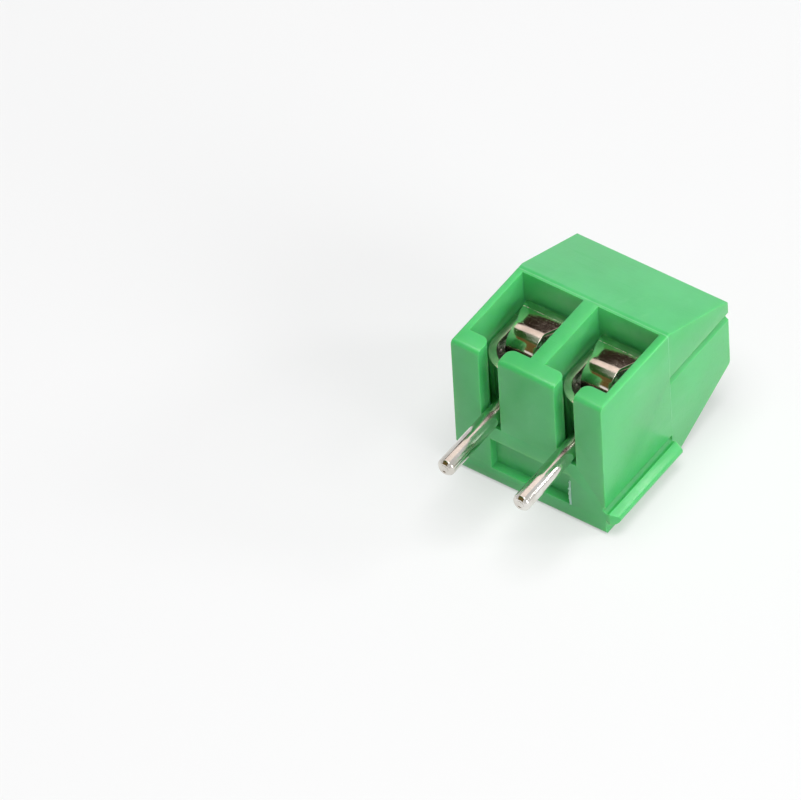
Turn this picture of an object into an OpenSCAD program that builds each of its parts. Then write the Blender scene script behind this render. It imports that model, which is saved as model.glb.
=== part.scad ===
// Two-pole screw terminal for a printed circuit board.
// The origin lies on the board, midway between the solder pins. +Z runs from the board
// to the screw holes and -Y to the side where the wires go in.

/* [Housing] */
// Number of poles side by side
poles = 2; // [2:1:4]
// Distance from one pole to the next
pitch = 3.5; // [3.5:0.05:4.2]
// From the pin axis to the wire side
front_depth = 3.4; // [3.2:0.05:3.8]
// From the pin axis to the plain side
back_depth = 3.6; // [3.5:0.05:4.2]
// Height above the board
body_h = 8.7; // [8.2:0.1:9.6]
// Height at which the wire side starts to lean in
front_break = 4.75; // [4.65:0.05:5.2]
// Height at which the plain side starts to lean in
back_break = 4.5; // [3.8:0.05:5.2]
// From the pin axis to the front edge of the top
top_front = 1.75; // [1.6:0.05:1.9]
// From the pin axis to the back edge of the top
top_back = 1.65; // [1.6:0.05:2.2]
// Height of the mould's parting line on the sides
parting_h = 4.6; // [4.4:0.05:5]
// Draft of the sides, in degrees
draft = 0.3; // [0.1:0.1:0.6]
// Radius of the outer edges
edge_r = 0.22; // [0.1:0.02:0.3]

/* [Wire entry] */
// Width of each wire opening
entry_w = 2.84; // [2.8:0.02:2.94]
// Height of the opening's sill above the board
entry_sill = 0.85; // [0.7:0.05:1]
// Height of the opening's top above the board
entry_top = 4.5; // [4.3:0.05:4.6]
// From the pin axis to the back wall of the contact chamber
chamber_back = 1.75; // [1.65:0.05:2.1]
// Width of the slot that the pin slides along
slot_w = 0.9; // [0.86:0.02:1.1]
// Radius where the sill turns into the slot
sill_r = 0.35; // [0.2:0.05:0.5]

/* [Screw hole] */
// Diameter of each screw hole
access_d = 2.84; // [2.8:0.02:2.9]
// Chamfer round the top of the screw hole
access_chamfer = 0.08; // [0.04:0.02:0.12]
// Depth at which the hole opens into the square shaft of the screw's head
access_step = 1.6; // [1.2:0.05:1.7]
// Clearance of the screw's head in that shaft
head_gap = 0.04; // [0.02:0.01:0.06]

/* [Side joints] */
// Thickness of the lower rail
low_hook_w = 0.46; // [0.4:0.02:0.5]
// Thickness of the upper rail
high_hook_w = 0.24; // [0.2:0.02:0.3]
// How far the lower rail stands out of the side
low_hook_reach = 0.5; // [0.4:0.02:0.55]
// How far the upper rail stands out of the side
high_hook_reach = 0.38; // [0.32:0.02:0.5]
// Lean of a rail, in degrees
hook_lean = 40; // [30:1:45]
// Lead-in chamfer at the lower end of the lower rail
hook_chamfer = 0.3; // [0.2:0.05:0.4]
// From the pin axis to the root of the lower rail
low_hook_y = 2.5; // [2.4:0.05:2.6]
// From the pin axis to the root of the upper rail
high_hook_y = -0.92; // [-1:0.02:-0.8]
// Clearance of a rail in the neighbour's groove
hook_gap = 0.03; // [0.02:0.01:0.05]

/* [Board side] */
// Width of the shallow recess between the pins
recess_w = 3.7; // [2.4:0.1:4.5]
// Depth of the recess
recess_h = 0.4; // [0.2:0.05:0.5]
// From the pin axis to the near edge of the recess
recess_near = 1.18; // [1:0.02:1.5]
// Width of the bar behind the recess
recess_bar = 0.8; // [0.5:0.05:1]

/* [Contact cage] */
// Thickness of the cage's sheet
cage_sheet = 0.32; // [0.28:0.02:0.34]
// From the pin axis to the cage's front edge
cage_front = 1.7; // [1.5:0.02:1.74]
// Clearance of the cage in its chamber
cage_gap = 0.04; // [0.02:0.01:0.06]
// Height of the cage above the opening's sill
cage_lift = 0.16; // [0.02:0.02:0.2]
// Gap between the two layers on top of the cage
lap_gap = 0.03; // [0.02:0.01:0.05]

/* [Solder pin] */
// Diameter of the pin
pin_d = 0.76; // [0.7:0.02:0.78]
// Length of the pin below the board side
pin_len = 3.2; // [2.8:0.1:4]
// Diameter of the pin where it meets the cage
pin_top_d = 0.72; // [0.66:0.02:0.74]
// Distance below the board side at which the pin starts to taper towards the cage
pin_taper_z = 0.1; // [0.06:0.02:0.2]
// Chamfer at the pin's end
pin_chamfer = 0.12; // [0.05:0.01:0.16]
// Diameter of the tenon riveted into the cage
tenon_d = 0.4; // [0.36:0.02:0.44]
// Diameter of the rivet head
rivet_d = 1.1; // [1.1:0.02:1.2]
// Height of the rivet head
rivet_h = 0.14; // [0.1:0.02:0.18]

/* [Clamp screw] */
// Thread diameter
thread_d = 2; // [1.8:0.05:2]
// Length below the head
thread_len = 3; // [2.9:0.05:3.3]
// Head diameter
head_d = 2.5; // [2.4:0.02:2.5]
// Head height
head_h = 0.9; // [0.7:0.05:1]
// Width of the driver slot
driver_w = 0.42; // [0.35:0.01:0.55]
// Depth of the driver slot
driver_h = 0.48; // [0.3:0.02:0.5]
// Clearance of the thread in the cage
thread_gap = 0.03; // [0.02:0.01:0.05]
// Chamfer at the screw's tip
tip_chamfer = 0.25; // [0.1:0.05:0.3]

/* [Wire guard] */
// Thickness of the leaf
leaf_sheet = 0.2; // [0.16:0.01:0.24]
// From the pin axis to the front of the leaf
leaf_out = 2.52; // [2.46:0.02:2.6]
// Lean of the leaf, in degrees
leaf_lean = 5; // [2:1:8]
// Width of the leaf at its upper edge
leaf_w = 2.2; // [2.1:0.05:2.5]
// Width of the leaf where its taper grows steeper
shoulder_w = 1.84; // [1.7:0.02:2]
// Width of the tongue under the screw
tongue_w = 1.32; // [1.1:0.02:1.34]
// Height of the tongue's underside above the board
tongue_z = 2.05; // [2.04:0.02:2.2]
// Outer radius of the bend into the tongue
bend_r = 0.8; // [0.7:0.02:0.84]
// Outer radius of the bend at the leaf's top
knee_r = 0.55; // [0.45:0.05:0.6]
// How far the tongue reaches past the screw axis
tongue_reach = 0.75; // [0.6:0.05:1.2]
// Height above the tongue at which the leaf starts to widen
taper_z = 0.82; // [0.7:0.02:0.9]
// Height above the tongue at which the taper grows steeper
shoulder_z = 1.5; // [1.3:0.05:1.7]
// Gap between the leaf and the cage's front edge
leaf_gap = 0.1; // [0.05:0.01:0.14]
// Clearance above the leaf
leaf_head_gap = 0.08; // [0.06:0.01:0.12]

/* [Hidden] */
$fn = 64;
arc_steps = 5;
over = 1;
screw_rest = 0.02;

green = [0.25, 0.68, 0.38];
tin = [0.78, 0.76, 0.72];
nickel = [0.72, 0.7, 0.66];
steel = [0.8, 0.8, 0.82];

body_w = poles * pitch;
low_side = body_w / 2 - parting_h * tan(draft);
high_side = body_w / 2 - (body_h - parting_h) * tan(draft);
cage_w = entry_w - 2 * cage_gap;
cage_r = cage_w / 2;
cage_bottom = entry_sill + cage_lift;
cage_top = entry_top - cage_gap;
cage_axis_z = cage_bottom + cage_r;
cage_len = cage_front + chamber_back - cage_gap;
cage_inner_top = cage_top - 2 * cage_sheet - lap_gap;
cage_floor = cage_bottom + cage_sheet;
leaf_back = -cage_front - leaf_gap;
leaf_top = entry_top - leaf_head_gap;
leaf_normal = [-cos(leaf_lean), sin(leaf_lean)];
bend_mid = [bend_r - leaf_out, tongue_z + bend_r];
knee_z = leaf_top - knee_r;
knee_shift = (knee_z - bend_mid[1]) * sin(leaf_lean) + knee_r - bend_r;
knee_mid = [bend_mid[0] + knee_shift / cos(leaf_lean), knee_z];
screw_z = tongue_z + leaf_sheet + screw_rest;

// --- helpers ---

function pole_x(p) = (p - (poles + 1) / 2) * pitch;

function unit(v) = v / norm(v);

// Points of the arc that rounds corner b between a and c
function corner_arc(a, b, c, r) =
    let (
        u = unit(a - b),
        v = unit(c - b),
        half = acos(u * v) / 2,
        m = b + unit(u + v) * r / sin(half),
        p = b + u * r / tan(half) - m,
        q = b + v * r / tan(half) - m,
        start = atan2(p[1], p[0]),
        turn = (atan2(q[1], q[0]) - start + 540) % 360 - 180
    )
    [for (i = [0:arc_steps]) m + r * [cos(start + turn * i / arc_steps), sin(start + turn * i / arc_steps)]];

function rounded(points, r) =
    let (n = len(points))
    [for (i = [0:n - 1]) each corner_arc(points[(i + n - 1) % n], points[i], points[(i + 1) % n], r)];

// A side view (Y, Z) pushed out along X, centred on x = 0
module along_x(width) {
    translate([-width / 2, 0, 0])
        rotate([90, 0, 90])
            linear_extrude(height = width)
                children();
}

// A front view (X, Z) pushed out from y0 to y1
module along_y(y0, y1) {
    translate([0, y1, 0])
        rotate([90, 0, 0])
            linear_extrude(height = y1 - y0)
                children();
}

module at_poles() {
    for (p = [1:poles])
        translate([pole_x(p), 0, 0])
            children();
}

// --- housing ---

module side_section() {
    polygon(rounded([
        [-front_depth, 0],
        [back_depth, 0],
        [back_depth, back_break],
        [top_back, body_h],
        [-top_front, body_h],
        [-front_depth, front_break]
    ], edge_r));
}

// Front view: both halves taper away from the parting line
module drafted_front() {
    w = body_w / 2;
    polygon([
        [-low_side, 0],
        [low_side, 0],
        [w, parting_h],
        [high_side, body_h],
        [-high_side, body_h],
        [-w, parting_h]
    ]);
}

module plan_outline() {
    w = body_w / 2;
    polygon(rounded([
        [-w, -front_depth],
        [w, -front_depth],
        [w, back_depth],
        [-w, back_depth]
    ], edge_r / 2));
}

module housing_block() {
    intersection() {
        along_x(body_w) side_section();
        along_y(-front_depth - over, back_depth + over) drafted_front();
        linear_extrude(height = body_h) plan_outline();
    }
}

// Cross-section of a rail that leans towards +Y, or of its groove when grown by gap
module hook_outline(width, reach, gap) {
    nose = width / 2;
    length = (reach - nose) / cos(hook_lean);
    rotate(hook_lean) {
        translate([-width, -nose - gap])
            square([width + length, width + 2 * gap]);
        translate([length, 0])
            circle(r = nose + gap);
    }
}

// The lower rail stands on the side at x, and the upper one on the opposite side
module low_hook(x, gap) {
    translate([x, low_hook_y, 0])
        linear_extrude(height = parting_h)
            hook_outline(low_hook_w, low_hook_reach, gap);
}

module high_hook(x, gap) {
    translate([x, high_hook_y, parting_h])
        linear_extrude(height = body_h - parting_h)
            rotate(180)
                hook_outline(high_hook_w, high_hook_reach, gap);
}

// Cutter for the lower rail's outer corner at the board
module hook_lead_in() {
    x = low_side + low_hook_reach - hook_chamfer;
    along_y(low_hook_y - over, low_hook_y + over)
        polygon([[x - over, -over], [x + over, -over], [x + over, over]]);
}

module entry_square() {
    translate([-entry_w / 2, entry_sill])
        square([entry_w, entry_top - entry_sill]);
}

// Slot below the opening that the pin slides along, with rounded corners at the sill
module pin_slot() {
    r = sill_r;
    translate([-slot_w / 2, -over])
        square([slot_w, over + entry_sill + over]);
    difference() {
        translate([-slot_w / 2 - r, entry_sill - r])
            square([slot_w + 2 * r, 1.5 * r]);
        for (side = [-1, 1])
            translate([side * (slot_w / 2 + r), entry_sill - r])
                circle(r = r);
    }
}

module screw_hole() {
    shaft_w = head_d + 2 * head_gap;
    translate([-shaft_w / 2, -shaft_w / 2, cage_top])
        cube([shaft_w, shaft_w, body_h - access_step - cage_top]);
    translate([0, 0, body_h - access_step])
        cylinder(d = access_d, h = access_step + over);
    translate([0, 0, body_h - access_chamfer])
        cylinder(d1 = access_d, d2 = access_d + 2 * access_chamfer, h = access_chamfer);
}

module housing() {
    color(green)
        difference() {
            union() {
                housing_block();
                difference() {
                    low_hook(low_side, 0);
                    hook_lead_in();
                }
                high_hook(-high_side, 0);
            }
            low_hook(-low_side, hook_gap);
            high_hook(high_side, hook_gap);
            at_poles() {
                along_y(-front_depth - over, chamber_back) entry_square();
                along_y(-front_depth - over, slot_w / 2) pin_slot();
                screw_hole();
            }
            translate([-recess_w / 2, recess_near, -over])
                cube([recess_w, back_depth - recess_bar - recess_near, over + recess_h]);
        }
}

// --- contact cage: one strip bent into a ring that laps over itself on top ---

module cage_outline() {
    inner_r = cage_r - cage_sheet;
    lap_z = cage_inner_top + cage_sheet;
    difference() {
        union() {
            translate([0, cage_axis_z])
                circle(r = cage_r);
            translate([-cage_r, cage_axis_z])
                square([cage_w, cage_top - cage_axis_z]);
        }
        translate([0, cage_axis_z])
            circle(r = inner_r);
        translate([-inner_r, cage_axis_z])
            square([2 * inner_r, cage_inner_top - cage_axis_z]);
        translate([-inner_r, lap_z])
            square([cage_r + inner_r + over, lap_gap]);
        translate([-inner_r, cage_inner_top - over / 10])
            square([lap_gap, cage_sheet + lap_gap]);
    }
}

module contact_cage() {
    color(nickel)
        difference() {
            along_y(-cage_front, cage_len - cage_front) cage_outline();
            translate([0, 0, cage_axis_z])
                cylinder(d = thread_d + 2 * thread_gap, h = cage_top - cage_axis_z + over);
            translate([0, 0, cage_bottom - over])
                cylinder(d = tenon_d, h = cage_sheet + 2 * over);
            translate([0, 0, cage_floor])
                cylinder(d = rivet_d, h = over);
        }
}

// --- solder pin, riveted into the floor of the cage ---

module solder_pin() {
    r = pin_d / 2;
    color(tin)
        rotate_extrude()
            polygon([
                [0, -pin_len],
                [r - pin_chamfer, -pin_len],
                [r, pin_chamfer - pin_len],
                [r, -pin_taper_z],
                [pin_top_d / 2, cage_bottom],
                [tenon_d / 2, cage_bottom],
                [tenon_d / 2, cage_floor],
                [rivet_d / 2, cage_floor],
                [tenon_d / 2, cage_floor + rivet_h],
                [0, cage_floor + rivet_h]
            ]);
}

// --- wire guard: a bent leaf that stands in the opening and turns in under the screw ---

// Side view of all that lies behind a surface set in from the leaf's outer face
module leaf_side(inset, lip_end, tongue_end) {
    translate(knee_mid)
        circle(r = knee_r - inset);
    translate(bend_mid)
        circle(r = bend_r - inset);
    polygon([
        knee_mid + leaf_normal * (knee_r - inset),
        bend_mid + leaf_normal * (bend_r - inset),
        bend_mid,
        [bend_mid[0], tongue_z + inset],
        [tongue_end, tongue_z + inset],
        [tongue_end, knee_z],
        [lip_end, knee_z],
        [lip_end, leaf_top - inset],
        [knee_mid[0], leaf_top - inset],
        knee_mid
    ]);
}

// Front view of the leaf: it narrows from its upper edge to the tongue
module leaf_outline() {
    low = tongue_z - over;
    taper = tongue_z + taper_z;
    shoulder = tongue_z + shoulder_z;
    high = leaf_top + over;
    polygon([
        [-tongue_w / 2, low],
        [tongue_w / 2, low],
        [tongue_w / 2, taper],
        [shoulder_w / 2, shoulder],
        [leaf_w / 2, leaf_top],
        [leaf_w / 2, high],
        [-leaf_w / 2, high],
        [-leaf_w / 2, leaf_top],
        [-shoulder_w / 2, shoulder],
        [-tongue_w / 2, taper]
    ]);
}

module wire_guard() {
    color(nickel)
        intersection() {
            along_x(leaf_w)
                difference() {
                    leaf_side(0, leaf_back, tongue_reach);
                    leaf_side(leaf_sheet, leaf_back + over, tongue_reach + over);
                    translate([leaf_back, knee_z])
                        square(2 * over);
                }
            along_y(-leaf_out - over, tongue_reach + over) leaf_outline();
        }
}

// --- clamp screw ---

module clamp_screw() {
    head_z = screw_z + thread_len;
    top = head_z + head_h;
    rim = head_h / 8;
    color(steel)
        difference() {
            rotate_extrude()
                polygon([
                    [0, screw_z],
                    [thread_d / 2 - tip_chamfer, screw_z],
                    [thread_d / 2, screw_z + tip_chamfer],
                    [thread_d / 2, head_z],
                    [head_d / 2, head_z],
                    [head_d / 2, top - rim],
                    [head_d / 2 - rim, top],
                    [0, top]
                ]);
            translate([-head_d, -driver_w / 2, top - driver_h])
                cube([2 * head_d, driver_w, driver_h + over]);
        }
}

housing();
for (p = [1:poles]) {
    translate([pole_x(p), 0, 0]) contact_cage();
    translate([pole_x(p), 0, 0]) solder_pin();
    translate([pole_x(p), 0, 0]) wire_guard();
    translate([pole_x(p), 0, 0]) clamp_screw();
}
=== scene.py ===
import bpy
import math
from mathutils import Matrix, Vector, noise


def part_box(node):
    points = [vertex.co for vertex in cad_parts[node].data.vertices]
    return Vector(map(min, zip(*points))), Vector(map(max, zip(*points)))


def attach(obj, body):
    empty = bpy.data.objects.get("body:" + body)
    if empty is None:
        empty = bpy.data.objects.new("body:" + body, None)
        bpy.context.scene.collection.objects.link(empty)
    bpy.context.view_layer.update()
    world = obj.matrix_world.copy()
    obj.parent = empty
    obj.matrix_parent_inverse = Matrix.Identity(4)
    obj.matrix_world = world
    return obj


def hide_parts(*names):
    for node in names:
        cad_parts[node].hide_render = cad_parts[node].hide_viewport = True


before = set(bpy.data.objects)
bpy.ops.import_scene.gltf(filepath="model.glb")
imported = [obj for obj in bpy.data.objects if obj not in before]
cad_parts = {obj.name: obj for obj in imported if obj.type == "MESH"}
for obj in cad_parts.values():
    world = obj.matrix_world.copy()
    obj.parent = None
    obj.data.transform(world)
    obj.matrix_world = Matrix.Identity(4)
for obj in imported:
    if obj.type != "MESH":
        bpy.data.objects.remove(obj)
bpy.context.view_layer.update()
mm = 0.001  # everything in the scene is in metres
housingLow, housingHigh = (Vector(corner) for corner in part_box("housing"))
firstPin, secondPin = (Vector(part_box(f"solder_pin_{pole}")[0]) for pole in (1, 2))
firstX = (Vector(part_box("clamp_screw_1")[0]).x + Vector(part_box("clamp_screw_1")[1]).x) / 2
pitch = (secondPin - firstPin).x
print("frame loaded,", len(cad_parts), "nodes")


def deselectAll():
    for item in bpy.context.selected_objects:
        item.select_set(False)


def makeActive(piece):
    deselectAll()
    piece.select_set(True)
    bpy.context.view_layer.objects.active = piece


copySet = {
    "sewDistance": 0.0008 * mm,
    "flatAngle": 0.4,
}


def copyNode(nodeName, pieceName):
    # a working copy of a solid, with its loose triangles sewn together and its flat faces whole
    piece = bpy.data.objects.new(pieceName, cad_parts[nodeName].data.copy())
    bpy.context.scene.collection.objects.link(piece)
    piece.data.name = pieceName
    makeActive(piece)
    bpy.ops.object.mode_set(mode="EDIT")
    bpy.ops.mesh.select_all(action="SELECT")
    bpy.ops.mesh.remove_doubles(threshold=copySet["sewDistance"])
    bpy.ops.mesh.dissolve_limited(angle_limit=math.radians(copySet["flatAngle"]))
    bpy.ops.object.mode_set(mode="OBJECT")
    return piece


def bevelPiece(piece, width, segments, angle):
    makeActive(piece)
    softening = piece.modifiers.new("softening", "BEVEL")
    softening.width = width
    softening.segments = segments
    softening.limit_method = "ANGLE"
    softening.angle_limit = math.radians(angle)
    softening.use_clamp_overlap = True
    softening.miter_outer = "MITER_ARC"
    softening.harden_normals = False
    bpy.ops.object.modifier_apply(modifier=softening.name)


def smoothPiece(piece, angle):
    makeActive(piece)
    bpy.ops.object.shade_smooth_by_angle(angle=math.radians(angle))


def setMaterial(piece, material):
    piece.data.materials.clear()
    piece.data.materials.append(material)


deselectAll()


cameraSet = {
    "aim": (-5.63 * mm, 0.64 * mm, -0.56 * mm),
    "back": (0.4161, -0.7229, -0.5516),
    "up": (-0.385, -0.690, 0.613),
    "distance": 579.6 * mm,
    "lens": 674.16,
    "clipStart": 0.01,
    "clipEnd": 10,
}


def makeCamera():
    back = Vector(cameraSet["back"]).normalized()
    up = Vector(cameraSet["up"])
    right = up.cross(back).normalized()
    up = back.cross(right)
    bpy.ops.object.camera_add()
    camera = bpy.context.object
    camera.name = "benchCamera"
    turn = Matrix((right, up, back)).transposed().to_4x4()
    place = Vector(cameraSet["aim"]) + back * cameraSet["distance"]
    camera.matrix_world = Matrix.Translation(place) @ turn
    camera.data.lens = cameraSet["lens"]
    camera.data.clip_start = cameraSet["clipStart"]
    camera.data.clip_end = cameraSet["clipEnd"]
    bpy.context.scene.camera = camera


makeCamera()
print("camera placed")


def newGroup(name, inputs, outputs):
    group = bpy.data.node_groups.new(name, "ShaderNodeTree")
    for label, kind, value in inputs:
        socket = group.interface.new_socket(name=label, in_out="INPUT", socket_type=kind)
        if value is not None:
            socket.default_value = value
    for label, kind in outputs:
        group.interface.new_socket(name=label, in_out="OUTPUT", socket_type=kind)
    return group, group.nodes.new("NodeGroupInput"), group.nodes.new("NodeGroupOutput")


def addNode(tree, kind, **values):
    made = tree.nodes.new(kind)
    for key, value in values.items():
        setattr(made, key, value)
    return made


def rangeNode(tree, source, low, high, outLow=0.0, outHigh=1.0, smooth=True):
    made = addNode(tree, "ShaderNodeMapRange", interpolation_type="SMOOTHSTEP" if smooth else "LINEAR")
    tree.links.new(source, made.inputs["Value"])
    made.inputs["From Min"].default_value = low
    made.inputs["From Max"].default_value = high
    made.inputs["To Min"].default_value = outLow
    made.inputs["To Max"].default_value = outHigh
    return made.outputs["Result"]


def mathNode(tree, operation, first, second):
    made = addNode(tree, "ShaderNodeMath", operation=operation)
    for index, value in enumerate((first, second)):
        if isinstance(value, (int, float)):
            made.inputs[index].default_value = value
        else:
            tree.links.new(value, made.inputs[index])
    return made.outputs[0]


def makeMottleGroup():
    # slow colour drift plus fine grain, for any moulded or plated surface
    group, source, result = newGroup(
        "surfaceMottle",
        [
            ("Vector", "NodeSocketVector", None),
            ("Drift Scale", "NodeSocketFloat", 600.0),
            ("Grain Scale", "NodeSocketFloat", 9000.0),
        ],
        [("Drift", "NodeSocketFloat"), ("Grain", "NodeSocketFloat")],
    )
    drift = addNode(group, "ShaderNodeTexNoise")
    drift.inputs["Detail"].default_value = 3
    drift.inputs["Roughness"].default_value = 0.55
    grain = addNode(group, "ShaderNodeTexNoise")
    grain.inputs["Detail"].default_value = 2
    for field, label in ((drift, "Drift Scale"), (grain, "Grain Scale")):
        group.links.new(source.outputs["Vector"], field.inputs["Vector"])
        group.links.new(source.outputs[label], field.inputs["Scale"])
    group.links.new(rangeNode(group, drift.outputs[0], 0.3, 0.7), result.inputs["Drift"])
    group.links.new(rangeNode(group, grain.outputs[0], 0.25, 0.75), result.inputs["Grain"])
    return group


def makeStreakGroup():
    # long thin lines along one direction, as drawing or flow leaves them
    group, source, result = newGroup(
        "streakLines",
        [
            ("Vector", "NodeSocketVector", None),
            ("Stretch", "NodeSocketVector", None),
            ("Scale", "NodeSocketFloat", 6000.0),
            ("Low", "NodeSocketFloat", 0.45),
            ("High", "NodeSocketFloat", 0.7),
        ],
        [("Lines", "NodeSocketFloat")],
    )
    stretch = addNode(group, "ShaderNodeVectorMath", operation="MULTIPLY")
    group.links.new(source.outputs["Vector"], stretch.inputs[0])
    group.links.new(source.outputs["Stretch"], stretch.inputs[1])
    field = addNode(group, "ShaderNodeTexNoise")
    field.inputs["Detail"].default_value = 4
    field.inputs["Roughness"].default_value = 0.6
    group.links.new(stretch.outputs[0], field.inputs["Vector"])
    group.links.new(source.outputs["Scale"], field.inputs["Scale"])
    mapped = addNode(group, "ShaderNodeMapRange", interpolation_type="SMOOTHSTEP")
    group.links.new(field.outputs[0], mapped.inputs["Value"])
    group.links.new(source.outputs["Low"], mapped.inputs["From Min"])
    group.links.new(source.outputs["High"], mapped.inputs["From Max"])
    group.links.new(mapped.outputs["Result"], result.inputs["Lines"])
    return group


def makeSpeckGroup():
    # small scattered pits and specks in a plated sheet
    group, source, result = newGroup(
        "platingSpecks",
        [
            ("Vector", "NodeSocketVector", None),
            ("Scale", "NodeSocketFloat", 5000.0),
            ("Size", "NodeSocketFloat", 0.16),
        ],
        [("Specks", "NodeSocketFloat")],
    )
    cells = addNode(group, "ShaderNodeTexVoronoi", feature="F1")
    group.links.new(source.outputs["Vector"], cells.inputs["Vector"])
    group.links.new(source.outputs["Scale"], cells.inputs["Scale"])
    mapped = addNode(group, "ShaderNodeMapRange", interpolation_type="SMOOTHSTEP")
    group.links.new(cells.outputs["Distance"], mapped.inputs["Value"])
    mapped.inputs["From Min"].default_value = 0.05
    group.links.new(source.outputs["Size"], mapped.inputs["From Max"])
    mapped.inputs["To Min"].default_value = 1
    mapped.inputs["To Max"].default_value = 0
    group.links.new(mapped.outputs["Result"], result.inputs["Specks"])
    return group


def makeBandGroup():
    # a thin level line at one height, with a slightly wavering edge
    group, source, result = newGroup(
        "levelBand",
        [
            ("Vector", "NodeSocketVector", None),
            ("Height", "NodeSocketFloat", 0.0),
            ("Width", "NodeSocketFloat", 0.00003),
        ],
        [("Band", "NodeSocketFloat")],
    )
    parts = addNode(group, "ShaderNodeSeparateXYZ")
    group.links.new(source.outputs["Vector"], parts.inputs[0])
    away = mathNode(group, "SUBTRACT", parts.outputs["Z"], source.outputs["Height"])
    share = mathNode(group, "DIVIDE", mathNode(group, "ABSOLUTE", away, 0.0), source.outputs["Width"])
    waver = addNode(group, "ShaderNodeTexNoise")
    waver.inputs["Scale"].default_value = 2500.0
    group.links.new(source.outputs["Vector"], waver.inputs["Vector"])
    uneven = mathNode(group, "MULTIPLY", share, rangeNode(group, waver.outputs[0], 0.3, 0.7, 0.7, 1.5))
    group.links.new(rangeNode(group, uneven, 0.3, 1.0, 1.0, 0.0), result.inputs["Band"])
    return group


mottleGroup = makeMottleGroup()
bandGroup = makeBandGroup()
streakGroup = makeStreakGroup()
speckGroup = makeSpeckGroup()
print("surface effects made")


def placeGroup(tree, group, vector, **values):
    made = addNode(tree, "ShaderNodeGroup", node_tree=group)
    tree.links.new(vector, made.inputs["Vector"])
    for key, value in values.items():
        made.inputs[key.replace("_", " ")].default_value = value
    return made


def newMaterial(name):
    material = bpy.data.materials.new(name)
    material.use_nodes = True
    tree = material.node_tree
    shader = tree.nodes["Principled BSDF"]
    coords = addNode(tree, "ShaderNodeTexCoord").outputs["Object"]
    return material, tree, shader, coords


def mixColour(tree, factor, first, second, blend="MIX"):
    made = addNode(tree, "ShaderNodeMix", data_type="RGBA", blend_type=blend)
    for index, value in ((0, factor), (6, first), (7, second)):
        if isinstance(value, (int, float)):
            made.inputs[index].default_value = value
        elif isinstance(value, tuple):
            made.inputs[index].default_value = (*value, 1)
        else:
            tree.links.new(value, made.inputs[index])
    return made.outputs[2]


def addBump(tree, shader, height, distance, strength, before=None):
    bump = addNode(tree, "ShaderNodeBump")
    bump.inputs["Distance"].default_value = distance
    bump.inputs["Strength"].default_value = strength
    tree.links.new(height, bump.inputs["Height"])
    if before is not None:
        tree.links.new(before, bump.inputs["Normal"])
    tree.links.new(bump.outputs["Normal"], shader.inputs["Normal"])
    return bump.outputs["Normal"]


plasticSet = {
    "base": (0.056, 0.45, 0.125),
    "pale": (0.080, 0.50, 0.160),
    "bloom": (0.30, 0.66, 0.38),
    "flash": (0.42, 0.74, 0.48),
    "driftScale": 420.0,
    "grainScale": 14000.0,
    "flow": {"Stretch": (0.12, 1.0, 1.0), "Scale": 5200.0, "Low": 0.5, "High": 0.75},
    "smear": {"Stretch": (1.0, 0.5, 0.22), "Scale": 700.0, "Low": 0.56, "High": 0.78},
    "smearShare": 0.16,
    "partingShare": 0.30,
    "partingZ": 4.6 * mm,
    "partingWidth": 0.035 * mm,
    "partingDepth": 0.015 * mm,
    "partingStrength": 0.6,
    "roughness": 0.30,
    "driftRoughness": 0.08,
    "flowRoughness": 0.06,
    "reliefDepth": 0.004 * mm,
    "grainStrength": 0.35,
    "flowStrength": 0.4,
    "ior": 1.53,
    "scatter": 0.5,
    "scatterRadius": (0.5, 1.0, 0.25),
    "scatterDepth": 0.7 * mm,
}


def makePlastic(name, base, pale):
    material, tree, shader, coords = newMaterial(name)
    mottle = placeGroup(
        tree, mottleGroup, coords,
        Drift_Scale=plasticSet["driftScale"], Grain_Scale=plasticSet["grainScale"],
    )
    flow = placeGroup(tree, streakGroup, coords, **plasticSet["flow"])
    smear = placeGroup(tree, streakGroup, coords, **plasticSet["smear"])
    parting = placeGroup(
        tree, bandGroup, coords,
        Height=plasticSet["partingZ"], Width=plasticSet["partingWidth"],
    )
    smearMask = mathNode(tree, "MULTIPLY", smear.outputs["Lines"], plasticSet["smearShare"])
    partingMask = mathNode(tree, "MULTIPLY", parting.outputs["Band"], plasticSet["partingShare"])
    colour = mixColour(tree, mottle.outputs["Drift"], base, pale)
    colour = mixColour(tree, smearMask, colour, plasticSet["bloom"])
    colour = mixColour(tree, partingMask, colour, plasticSet["bloom"])
    tree.links.new(colour, shader.inputs["Base Color"])
    smoothest = plasticSet["roughness"]
    drift = rangeNode(
        tree, mottle.outputs["Drift"], 0, 1, smoothest, smoothest + plasticSet["driftRoughness"]
    )
    lines = rangeNode(tree, flow.outputs["Lines"], 0, 1, 0, plasticSet["flowRoughness"])
    tree.links.new(mathNode(tree, "ADD", lines, drift), shader.inputs["Roughness"])
    shader.inputs["IOR"].default_value = plasticSet["ior"]
    shader.inputs["Subsurface Weight"].default_value = plasticSet["scatter"]
    shader.inputs["Subsurface Radius"].default_value = plasticSet["scatterRadius"]
    shader.inputs["Subsurface Scale"].default_value = plasticSet["scatterDepth"]
    depth = plasticSet["reliefDepth"]
    grainStrength, flowStrength = plasticSet["grainStrength"], plasticSet["flowStrength"]
    ridge, ridgeStrength = plasticSet["partingDepth"], plasticSet["partingStrength"]
    grainNormal = addBump(tree, shader, mottle.outputs["Grain"], depth, grainStrength)
    flowNormal = addBump(tree, shader, flow.outputs["Lines"], depth, flowStrength, grainNormal)
    addBump(tree, shader, parting.outputs["Band"], ridge, ridgeStrength, flowNormal)
    return material


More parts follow.
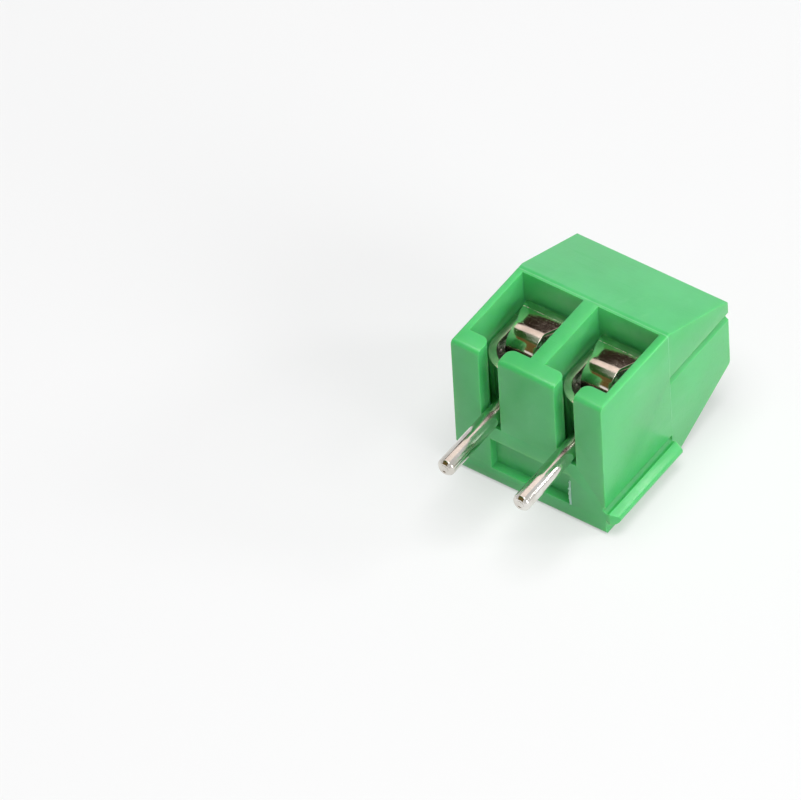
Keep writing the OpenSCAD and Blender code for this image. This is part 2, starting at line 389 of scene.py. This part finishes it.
sheetLook = {
    "dark": (0.60, 0.54, 0.48),
    "light": (0.74, 0.68, 0.61),
    "speck": (0.88, 0.85, 0.80),
    "driftScale": 1800.0,
    "grainScale": 16000.0,
    "specks": {"Scale": 7000.0, "Size": 0.2},
    "speckShare": 0.35,
    "speckRelief": (0.003 * mm, 0.5),
    "rolling": {"Stretch": (0.05, 1.0, 1.0), "Scale": 9000.0, "Low": 0.45, "High": 0.8},
    "rollingRelief": (0.002 * mm, 0.4),
    "creaseZ": 3.78 * mm,
    "creaseWidth": 0.02 * mm,
    "creaseBreaks": (0.35, 0.6),
    "creaseRelief": (0.02 * mm, 1.0),
    "creaseRoughness": 0.5,
    "roughness": (0.10, 0.22),
}


def wornRoughness(tree, mottle, lines, roughness):
    # fine grain and drawn lines together, from the smoothest to the dullest
    worn = mathNode(tree, "ADD", mottle.outputs["Grain"], lines.outputs["Lines"])
    return rangeNode(tree, worn, 0, 2, *roughness)


def makePlatedSheet():
    material, tree, shader, coords = newMaterial("nickelSheet")
    mottle = placeGroup(
        tree, mottleGroup, coords,
        Drift_Scale=sheetLook["driftScale"], Grain_Scale=sheetLook["grainScale"],
    )
    specks = placeGroup(tree, speckGroup, coords, **sheetLook["specks"])
    lines = placeGroup(tree, streakGroup, coords, **sheetLook["rolling"])
    crease = placeGroup(
        tree, bandGroup, coords, Height=sheetLook["creaseZ"], Width=sheetLook["creaseWidth"]
    )
    broken = rangeNode(tree, mottle.outputs["Grain"], *sheetLook["creaseBreaks"])
    dots = mathNode(tree, "MULTIPLY", crease.outputs["Band"], broken)
    speckMask = mathNode(tree, "MULTIPLY", specks.outputs["Specks"], sheetLook["speckShare"])
    colour = mixColour(tree, mottle.outputs["Drift"], sheetLook["dark"], sheetLook["light"])
    colour = mixColour(tree, speckMask, colour, sheetLook["speck"])
    tree.links.new(colour, shader.inputs["Base Color"])
    shader.inputs["Metallic"].default_value = 1
    worn = wornRoughness(tree, mottle, lines, sheetLook["roughness"])
    dull = mathNode(tree, "MULTIPLY", dots, sheetLook["creaseRoughness"])
    tree.links.new(mathNode(tree, "ADD", worn, dull), shader.inputs["Roughness"])
    speckNormal = addBump(tree, shader, specks.outputs["Specks"], *sheetLook["speckRelief"])
    rollingRelief = sheetLook["rollingRelief"]
    lineNormal = addBump(tree, shader, lines.outputs["Lines"], *rollingRelief, speckNormal)
    addBump(tree, shader, dots, *sheetLook["creaseRelief"], lineNormal)
    return material


tinLook = {
    "dark": (0.66, 0.63, 0.58),
    "light": (0.80, 0.78, 0.74),
    "driftScale": 1500.0,
    "grainScale": 12000.0,
    "drawing": {"Stretch": (1.0, 1.0, 0.04), "Scale": 9000.0, "Low": 0.4, "High": 0.75},
    "drawingRelief": (0.004 * mm, 0.5),
    "roughness": (0.08, 0.20),
}


def makeTin():
    material, tree, shader, coords = newMaterial("tinnedWire")
    mottle = placeGroup(
        tree, mottleGroup, coords,
        Drift_Scale=tinLook["driftScale"], Grain_Scale=tinLook["grainScale"],
    )
    lines = placeGroup(tree, streakGroup, coords, **tinLook["drawing"])
    colour = mixColour(tree, mottle.outputs["Drift"], tinLook["dark"], tinLook["light"])
    tree.links.new(colour, shader.inputs["Base Color"])
    shader.inputs["Metallic"].default_value = 1
    rough = wornRoughness(tree, mottle, lines, tinLook["roughness"])
    tree.links.new(rough, shader.inputs["Roughness"])
    addBump(tree, shader, lines.outputs["Lines"], *tinLook["drawingRelief"])
    return material


zincLook = {
    "dark": (0.55, 0.56, 0.58),
    "light": (0.70, 0.71, 0.73),
    "driftScale": 1500.0,
    "grainScale": 12000.0,
    "grainRelief": (0.004 * mm, 0.3),
    "roughness": (0.22, 0.38),
}


def makeZinc():
    material, tree, shader, coords = newMaterial("zincSteel")
    mottle = placeGroup(
        tree, mottleGroup, coords,
        Drift_Scale=zincLook["driftScale"], Grain_Scale=zincLook["grainScale"],
    )
    colour = mixColour(tree, mottle.outputs["Drift"], zincLook["dark"], zincLook["light"])
    tree.links.new(colour, shader.inputs["Base Color"])
    shader.inputs["Metallic"].default_value = 1
    rough = rangeNode(tree, mottle.outputs["Grain"], 0, 1, *zincLook["roughness"])
    tree.links.new(rough, shader.inputs["Roughness"])
    addBump(tree, shader, mottle.outputs["Grain"], *zincLook["grainRelief"])
    return material


plastic = makePlastic("greenPolyamide", plasticSet["base"], plasticSet["pale"])
palePlastic = makePlastic("paleFlash", plasticSet["bloom"], plasticSet["flash"])
platedSheet = makePlatedSheet()
tin = makeTin()
zinc = makeZinc()
print("materials made")


housingSet = {
    "edge": (0.09 * mm, 3, 28),
    "smoothBelow": 30,
    "railReach": 0.45 * mm,
    "railRoot": 1.36 * mm,
    "rootRadius": 0.16 * mm,
    "rootLength": 4.6 * mm,
    "rootSides": 24,
    "flashX": 1.85 * mm,
    "flashFrom": 1.45 * mm,
    "flashTo": 2.78 * mm,
    "flashWidth": 0.075 * mm,
    "flashSteps": 46,
    "flashSheet": 0.02 * mm,
    "flashLift": 0.03 * mm,
    "flashTear": 0.09 * mm,
    "flashWave": 0.35 * mm,
    "flashSmoothBelow": 40,
}


def cutAway(piece, cutter):
    makeActive(piece)
    cut = piece.modifiers.new("cut", "BOOLEAN")
    cut.operation = "DIFFERENCE"
    cut.solver = "EXACT"
    cut.object = cutter
    bpy.ops.object.modifier_apply(modifier=cut.name)
    bpy.data.objects.remove(cutter)


def cutRailRoot(shell):
    # a rounded groove along the root of the lower rail
    length = housingSet["rootLength"]
    bpy.ops.mesh.primitive_cylinder_add(
        vertices=housingSet["rootSides"], radius=housingSet["rootRadius"], depth=length
    )
    cutter = bpy.context.object
    rootX = housingHigh.x - housingSet["railReach"]
    rootY = housingHigh.y - housingSet["railRoot"]
    cutter.data.transform(Matrix.Translation((rootX, rootY, housingLow.z + length / 2)))
    cutAway(shell, cutter)


def makeHousing():
    shell = copyNode("housing", "mouldedHousing")
    cutRailRoot(shell)
    bevelPiece(shell, *housingSet["edge"])
    smoothPiece(shell, housingSet["smoothBelow"])
    setMaterial(shell, plastic)
    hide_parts("housing")
    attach(shell, "housing")


def makeFlash():
    # ragged flash left by the mould along one edge of the board recess
    length = housingSet["flashTo"] - housingSet["flashFrom"]
    middle = (housingSet["flashFrom"] + housingSet["flashTo"]) / 2
    width = housingSet["flashWidth"]
    steps = housingSet["flashSteps"]
    bpy.ops.mesh.primitive_grid_add(x_subdivisions=2, y_subdivisions=steps, size=1)
    flash = bpy.context.object
    flash.name = "recessFlash"
    flash.data.transform(Matrix.Diagonal((width, length, 1, 1)))
    flash.data.transform(Matrix.Translation((housingSet["flashX"], middle, 0.0)))
    for vertex in flash.data.vertices:
        outward = (housingSet["flashX"] - vertex.co.x) / width + 0.5
        ragged = noise.noise(Vector((0, vertex.co.y / housingSet["flashTear"], 0.5)))
        coarse = noise.noise(Vector((0, vertex.co.y / housingSet["flashWave"], 2.5)))
        vertex.co.x -= outward * width * (ragged + coarse) / 2
        vertex.co.z = -outward * housingSet["flashLift"] * (1 + ragged)
    makeActive(flash)
    sheet = flash.modifiers.new("sheet", "SOLIDIFY")
    sheet.thickness = housingSet["flashSheet"]
    sheet.offset = 0
    bpy.ops.object.modifier_apply(modifier=sheet.name)
    smoothPiece(flash, housingSet["flashSmoothBelow"])
    setMaterial(flash, palePlastic)
    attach(flash, "housing")


makeHousing()
makeFlash()
print("housing finished")


def otherPole(piece, name):
    # the same piece again, one pitch further along the row
    twin = bpy.data.objects.new(name, piece.data.copy())
    bpy.context.scene.collection.objects.link(twin)
    twin.data.name = name
    twin.data.transform(Matrix.Translation((pitch, 0, 0)))
    return twin


def finishPair(piece, name, node, body):
    # body holds a place for the pole number when each pole has its own
    for pole, item in ((1, piece), (2, otherPole(piece, f"{name}2"))):
        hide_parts(f"{node}_{pole}")
        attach(item, body.format(pole))


cageSet = {
    "edge": (0.04 * mm, 2, 40),
    "smoothBelow": 30,
}


def makeCages():
    cage = copyNode("contact_cage_1", "clampCage1")
    bevelPiece(cage, *cageSet["edge"])
    smoothPiece(cage, cageSet["smoothBelow"])
    setMaterial(cage, platedSheet)
    finishPair(cage, "clampCage", "contact_cage", "housing")


pinSet = {
    "edge": (0.04 * mm, 3, 30),
    "smoothBelow": 35,
    "dimpleInset": 0.10 * mm,
    "dimpleDepth": 0.06 * mm,
    "dimpleSteps": 2,
}


def makePins():
    pin = copyNode("solder_pin_1", "roundPin1")
    bevelPiece(pin, *pinSet["edge"])
    # the shear leaves a shallow dimple in the pin's end
    endFace = min(pin.data.polygons, key=lambda face: face.center.z)
    for face in pin.data.polygons:
        face.select = face.index == endFace.index
    makeActive(pin)
    bpy.ops.object.mode_set(mode="EDIT")
    bpy.ops.mesh.select_mode(type="FACE")
    for step in range(pinSet["dimpleSteps"]):
        bpy.ops.mesh.inset(thickness=pinSet["dimpleInset"] / pinSet["dimpleSteps"])
        bpy.ops.transform.translate(value=(0, 0, pinSet["dimpleDepth"] / pinSet["dimpleSteps"]))
    bpy.ops.object.mode_set(mode="OBJECT")
    smoothPiece(pin, pinSet["smoothBelow"])
    setMaterial(pin, tin)
    finishPair(pin, "roundPin", "solder_pin", "housing")


leafSet = {
    "edge": (0.03 * mm, 2, 40),
    "smoothBelow": 30,
}


def makeGuards():
    leaf = copyNode("wire_guard_1", "guardLeaf1")
    bevelPiece(leaf, *leafSet["edge"])
    smoothPiece(leaf, leafSet["smoothBelow"])
    setMaterial(leaf, platedSheet)
    finishPair(leaf, "guardLeaf", "wire_guard", "guard_{}")


screwSet = {
    "edge": (0.03 * mm, 2, 30),
    "smoothBelow": 25,
    "rootRadius": 0.80 * mm,
    "cutRadius": 0.20 * mm,
    "threadPitch": 0.40 * mm,
    "turns": 8,
    "turnSteps": 40,
    "startBelow": 0.29 * mm,
}


def makeThreadCutter():
    # a V-shaped groove wound round the screw's axis
    bpy.ops.mesh.primitive_circle_add(vertices=3, radius=screwSet["cutRadius"], fill_type="NOTHING")
    cutter = bpy.context.object
    cutter.name = "threadCutter"
    cutter.data.transform(Matrix.Rotation(math.radians(90), 4, "Z"))
    cutter.data.transform(Matrix.Rotation(math.radians(90), 4, "X"))
    cutter.data.transform(Matrix.Translation((screwSet["rootRadius"] + screwSet["cutRadius"], 0, 0)))
    winding = cutter.modifiers.new("winding", "SCREW")
    winding.axis = "Z"
    winding.screw_offset = screwSet["threadPitch"]
    winding.iterations = screwSet["turns"]
    winding.steps = screwSet["turnSteps"]
    winding.use_normal_calculate = True
    bpy.ops.object.modifier_apply(modifier=winding.name)
    bpy.ops.object.mode_set(mode="EDIT")
    bpy.ops.mesh.select_mode(type="EDGE")
    bpy.ops.mesh.select_all(action="DESELECT")
    bpy.ops.mesh.select_non_manifold()
    bpy.ops.mesh.fill_holes(sides=3)
    bpy.ops.mesh.select_all(action="SELECT")
    bpy.ops.mesh.normals_make_consistent(inside=False)
    bpy.ops.object.mode_set(mode="OBJECT")
    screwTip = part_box("clamp_screw_1")[0][2]
    cutter.data.transform(Matrix.Translation((firstX, 0, screwTip - screwSet["startBelow"])))
    return cutter


def makeScrews():
    screw = copyNode("clamp_screw_1", "clampScrew1")
    bevelPiece(screw, *screwSet["edge"])
    cutAway(screw, makeThreadCutter())
    smoothPiece(screw, screwSet["smoothBelow"])
    setMaterial(screw, zinc)
    finishPair(screw, "clampScrew", "clamp_screw", "screw_{}")


makeCages()
makePins()
makeGuards()
makeScrews()
print("metal pieces finished")


stageSet = {
    "floorSize": 4.0,
    "floorColour": (0.66, 0.66, 0.66),
    "shownColour": (0.42, 0.42, 0.42),
    "shownGlow": (0.44, 0.44, 0.44),
    "world": 0.18,
    "worldInGloss": 0.70,
    "white": 0.956,
}


def makeFloor():
    bpy.ops.mesh.primitive_plane_add(size=stageSet["floorSize"], location=(0, 0, 0))
    floor = bpy.context.object
    floor.name = "benchTop"
    floor.data.transform(Matrix.Rotation(math.radians(90), 4, "X"))
    floor.data.transform(Matrix.Translation((0, housingHigh.y, 0)))
    material = bpy.data.materials.new("paleBench")
    material.use_nodes = True
    tree = material.node_tree
    tree.nodes.remove(tree.nodes["Principled BSDF"])
    output = tree.nodes["Material Output"]
    matte = addNode(tree, "ShaderNodeBsdfDiffuse")
    matte.inputs["Color"].default_value = (*stageSet["floorColour"], 1)
    shownMatte = addNode(tree, "ShaderNodeBsdfDiffuse")
    shownMatte.inputs["Color"].default_value = (*stageSet["shownColour"], 1)
    glow = addNode(tree, "ShaderNodeEmission")
    glow.inputs["Color"].default_value = (*stageSet["shownGlow"], 1)
    shown = addNode(tree, "ShaderNodeAddShader")
    tree.links.new(shownMatte.outputs[0], shown.inputs[0])
    tree.links.new(glow.outputs[0], shown.inputs[1])
    path = addNode(tree, "ShaderNodeLightPath")
    seen = mathNode(tree, "MAXIMUM", path.outputs["Is Camera Ray"], path.outputs["Is Glossy Ray"])
    choose = addNode(tree, "ShaderNodeMixShader")
    tree.links.new(seen, choose.inputs[0])
    tree.links.new(matte.outputs[0], choose.inputs[1])
    tree.links.new(shown.outputs[0], choose.inputs[2])
    clear = addNode(tree, "ShaderNodeBsdfTransparent")
    back = addNode(tree, "ShaderNodeNewGeometry")
    oneWay = addNode(tree, "ShaderNodeMixShader")
    tree.links.new(back.outputs["Backfacing"], oneWay.inputs[0])
    tree.links.new(choose.outputs[0], oneWay.inputs[1])
    tree.links.new(clear.outputs[0], oneWay.inputs[2])
    tree.links.new(oneWay.outputs[0], output.inputs["Surface"])
    setMaterial(floor, material)


lampSet = {
    "overheadBox": {"place": (0.02, -0.31, -0.02), "size": 0.24, "power": 0.92},
    "skyBox": {
        "place": (-0.148, -0.03, 0.294), "size": 0.26, "power": 0.07, "colour": (0.72, 0.90, 1.20),
    },
    "rimBox": {"place": (0.23, -0.13, 0.175), "size": 0.06, "power": 0.20},
    "rightBox": {"place": (0.27, -0.10, -0.03), "size": 0.16, "power": 0.45},
    "boardBox": {"place": (0.06, -0.07, -0.28), "size": 0.10, "power": 0.01},
}


def addLamp(name, place, size, power, colour=(1, 1, 1)):
    bpy.ops.object.light_add(type="AREA", location=place)
    lamp = bpy.context.object
    lamp.name = name
    lamp.data.shape = "DISK"
    lamp.data.size = size
    lamp.data.energy = power
    lamp.data.color = colour
    lamp.rotation_mode = "QUATERNION"
    lamp.rotation_quaternion = Vector(place).to_track_quat("Z", "Y")


def makeWorld():
    world = bpy.data.worlds.new("studioRoom")
    bpy.context.scene.world = world
    world.use_nodes = True
    tree = world.node_tree
    background = tree.nodes["Background"]
    background.inputs["Color"].default_value = (1, 1, 1, 1)
    path = addNode(tree, "ShaderNodeLightPath")
    seen = mathNode(tree, "MAXIMUM", path.outputs["Is Camera Ray"], path.outputs["Is Transmission Ray"])
    glossy = path.outputs["Is Glossy Ray"]
    lit = rangeNode(tree, glossy, 0, 1, stageSet["world"], stageSet["worldInGloss"], False)
    strength = mathNode(tree, "MAXIMUM", lit, mathNode(tree, "MULTIPLY", seen, stageSet["white"]))
    tree.links.new(strength, background.inputs["Strength"])


cardSet = {
    "radius": 0.25,
    "middleX": -0.09,
    "width": 0.30,
    "steps": 12,
    # glowing bands that paint reflections into the metal: a dark band of painted shade, a bright
    # painted highlight, and green and brown painted reflections
    "bands": {
        "darkCard": (33, 62, (0.026, 0.016, 0.009)),
        "brightCard": (5, 33, (1.15, 1.00, 0.93)),
        "greenCard": (-38, 5, (0.020, 0.095, 0.012)),
        "brownCard": (-100, -38, (0.16, 0.11, 0.035)),
    },
}


def makeCard(name, low, high, colour):
    # part of a wide trough round the X axis, seen only in the metal's reflections; it glows in one
    # colour, so it paints a reflected band into the metal: painted shade, a painted highlight, or green
    # and brown painted reflections of the surroundings
    bpy.ops.mesh.primitive_grid_add(x_subdivisions=1, y_subdivisions=cardSet["steps"], size=1)
    card = bpy.context.object
    card.name = name
    for vertex in card.data.vertices:
        angle = math.radians(low + (high - low) * (vertex.co.y + 0.5))
        across = cardSet["middleX"] + vertex.co.x * cardSet["width"]
        outward = Vector((0, -math.cos(angle), math.sin(angle)))
        vertex.co = Vector((across, 0, 0)) + outward * cardSet["radius"]
    material = bpy.data.materials.new(name)
    material.use_nodes = True
    tree = material.node_tree
    tree.nodes.remove(tree.nodes["Principled BSDF"])
    glow = addNode(tree, "ShaderNodeEmission")
    glow.inputs["Color"].default_value = (*colour, 1)
    tree.links.new(glow.outputs[0], tree.nodes["Material Output"].inputs["Surface"])
    setMaterial(card, material)
    for ray in ("camera", "diffuse", "shadow", "transmission", "volume_scatter"):
        setattr(card, f"visible_{ray}", False)


makeFloor()
for lampName, values in lampSet.items():
    addLamp(lampName, **values)
for cardName, (low, high, colour) in cardSet["bands"].items():
    makeCard(cardName, low, high, colour)
makeWorld()
bpy.context.scene.view_settings.view_transform = "Standard"
print("bench and lamps set")
